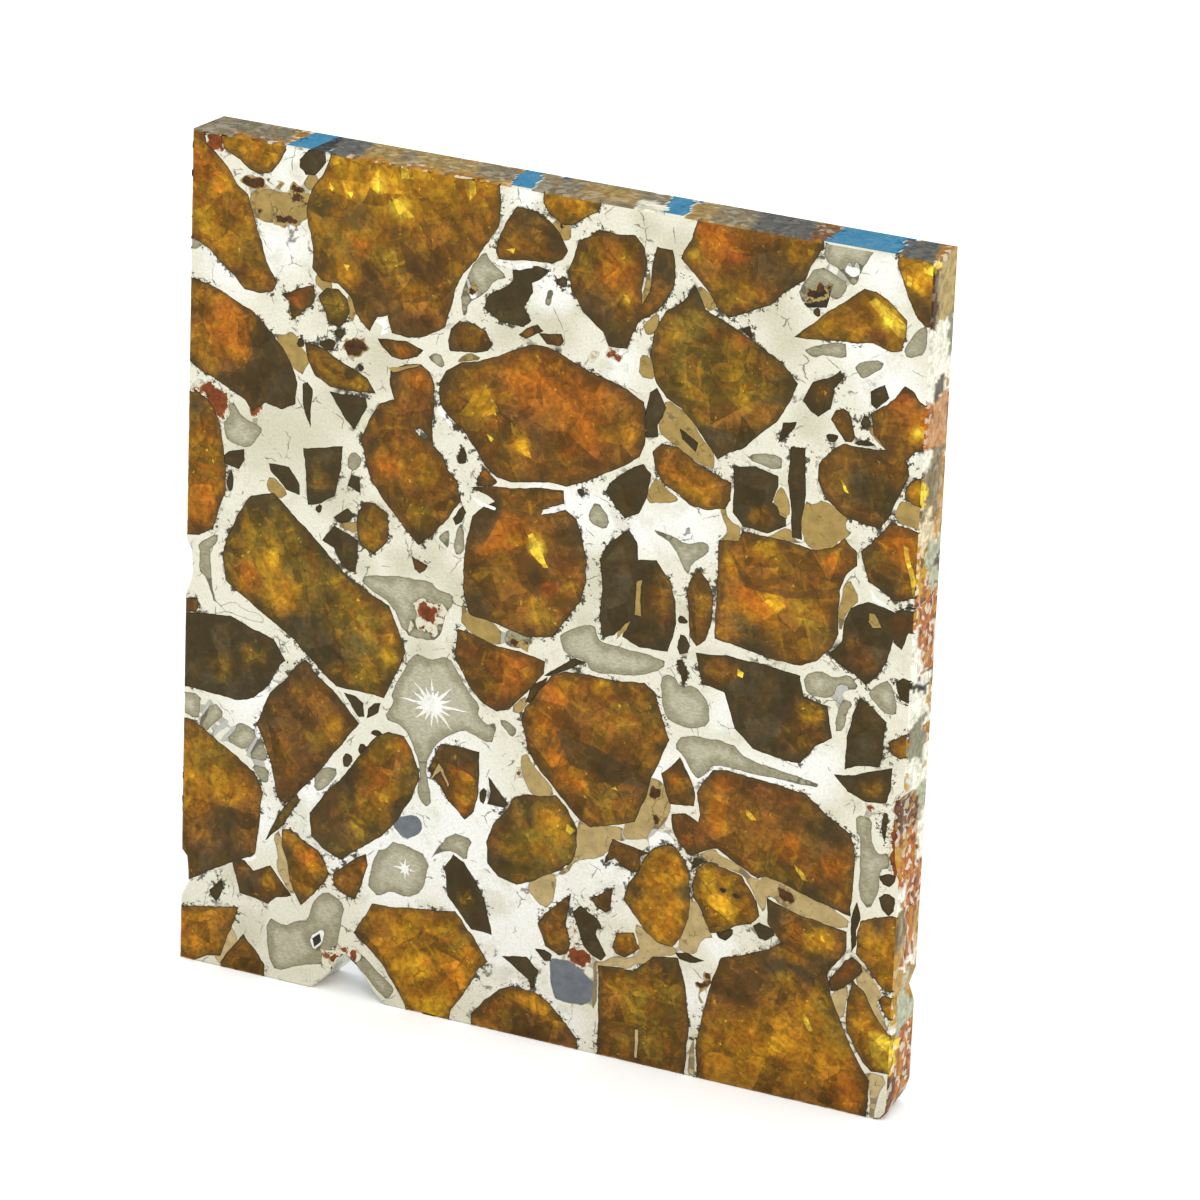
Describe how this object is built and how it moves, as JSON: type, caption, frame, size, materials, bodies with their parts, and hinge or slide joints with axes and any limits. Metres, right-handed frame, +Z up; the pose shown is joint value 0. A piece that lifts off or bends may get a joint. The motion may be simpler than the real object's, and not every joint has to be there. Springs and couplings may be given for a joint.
{
  "type": "pallasite meteorite slice",
  "caption": "Thin polished slice of stony-iron meteorite: see-through amber, orange and brown olivine crystals in a network of bright metal, standing on its sawn edge.",
  "frame": {"origin": "middle of the sawn bottom edge: centre of the bounding box in X and Y, and its lowest point", "axes": "+X along the width to the right of the pictured face, +Y through the thickness away from that face, +Z up along the height"},
  "size_m": [0.057, 0.004, 0.064],
  "materials": {
    "polished_metal": "polished and lightly etched nickel-iron with grey kamacite and plessite, tan troilite and rust",
    "amber_olivine": "polished see-through amber olivine with golden fractures",
    "orange_olivine": "polished see-through orange-brown olivine",
    "brown_olivine": "polished see-through brown olivine",
    "olive_olivine": "polished see-through olive-brown olivine",
    "dark_olivine": "polished smoky, almost opaque olivine"
  },
  "bodies": {
    "root": {"amber_crystal_a1": "amber_olivine", "amber_crystal_a12": "amber_olivine", "amber_crystal_a13": "amber_olivine", "amber_crystal_a2": "amber_olivine", "amber_crystal_a4": "amber_olivine", "amber_crystal_a7": "amber_olivine", "amber_crystal_c1": "amber_olivine", "amber_crystal_f11": "amber_olivine", "amber_crystal_f17": "amber_olivine", "amber_crystal_f20": "amber_olivine", "amber_crystal_f8": "amber_olivine", "amber_crystal_h1": "amber_olivine", "amber_crystal_h4": "amber_olivine", "amber_crystal_h9": "amber_olivine", "brown_crystal_a10": "brown_olivine", "brown_crystal_a6": "brown_olivine", "brown_crystal_a8": "brown_olivine", "brown_crystal_b1": "brown_olivine", "brown_crystal_b2": "brown_olivine", "brown_crystal_b7": "brown_olivine", "brown_crystal_b9": "brown_olivine", "brown_crystal_d10": "brown_olivine", "brown_crystal_e1": "brown_olivine", "brown_crystal_e6": "brown_olivine", "brown_crystal_f1": "brown_olivine", "brown_crystal_h2": "brown_olivine", "brown_crystal_h3": "brown_olivine", "brown_crystal_h5": "brown_olivine", "brown_crystal_h6": "brown_olivine", "brown_crystal_h8": "brown_olivine", "dark_crystal_b14": "dark_olivine", "dark_crystal_b3": "dark_olivine", "dark_crystal_c10": "dark_olivine", "dark_crystal_c12": "dark_olivine", "dark_crystal_c4": "dark_olivine", "dark_crystal_c9": "dark_olivine", "dark_crystal_d11": "dark_olivine", "dark_crystal_d12": "dark_olivine", "dark_crystal_d4": "dark_olivine", "dark_crystal_d7": "dark_olivine", "dark_crystal_e4": "dark_olivine", "dark_crystal_e9": "dark_olivine", "dark_crystal_f12": "dark_olivine", "metal_network": "polished_metal", "olive_crystal_a11": "olive_olivine", "olive_crystal_d2": "olive_olivine", "olive_crystal_d3": "olive_olivine", "olive_crystal_e2": "olive_olivine", "olive_crystal_f5": "olive_olivine", "orange_crystal_b12": "orange_olivine", "orange_crystal_b8": "orange_olivine", "orange_crystal_c15": "orange_olivine", "orange_crystal_c6": "orange_olivine", "orange_crystal_c7": "orange_olivine", "orange_crystal_c8": "orange_olivine", "orange_crystal_d6": "orange_olivine", "orange_crystal_d9": "orange_olivine", "orange_crystal_e7": "orange_olivine", "orange_crystal_e8": "orange_olivine", "orange_crystal_f6": "orange_olivine"}
  },
  "joints": []
}
